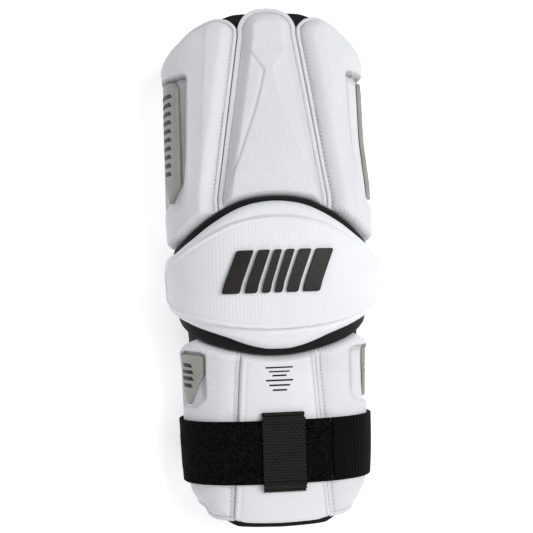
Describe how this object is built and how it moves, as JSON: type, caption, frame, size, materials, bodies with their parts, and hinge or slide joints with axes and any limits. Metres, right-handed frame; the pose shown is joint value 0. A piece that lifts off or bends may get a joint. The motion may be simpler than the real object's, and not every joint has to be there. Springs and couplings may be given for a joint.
{
  "type": "lacrosse arm pad",
  "caption": "Padded arm guard for field sport: a hollow cloth sleeve with moulded foam panels, a wrap-round elbow cap and a forearm strap under a webbing loop.",
  "frame": {"origin": "middle of the base of the bounding box, on the surface that the pad lies on", "axes": "+Y along the pad towards the upper-arm end, +Z outwards through the elbow cap, +X to the right as seen from the front"},
  "size_m": [0.1588, 0.3761, 0.1154],
  "materials": {
    "white_shell": "matte embossed knit cloth moulded over foam",
    "cap_cloth": "matte ribbed knit cloth moulded over a hard core",
    "sleeve_cloth": "matte black stretch knit",
    "backing_cloth": "matte black knit over foam",
    "insert_plastic": "satin grey moulded plate",
    "badge_rubber": "satin charcoal rubber",
    "pile_cloth": "fuzzy loop pile",
    "elastic_cloth": "ribbed woven elastic",
    "webbing_cloth": "coarse woven webbing"
  },
  "bodies": {
    "root": {"sleeve": "sleeve_cloth", "upper_centre_lobe": "white_shell", "upper_left_lobe": "white_shell", "upper_right_lobe": "white_shell", "upper_left_insert": "insert_plastic", "upper_right_insert": "insert_plastic", "elbow_backing": "backing_cloth", "elbow_cap": "cap_cloth", "badge_block_1": "badge_rubber", "badge_block_2": "badge_rubber", "badge_block_3": "badge_rubber", "badge_block_4": "badge_rubber", "badge_block_5": "badge_rubber", "badge_block_6": "badge_rubber", "forearm_centre_panel": "white_shell", "forearm_left_panel": "white_shell", "forearm_right_panel": "white_shell", "forearm_left_insert": "insert_plastic", "forearm_right_insert": "insert_plastic", "strap_pile": "pile_cloth", "strap_elastic": "elastic_cloth", "strap_keeper": "webbing_cloth"}
  },
  "joints": []
}
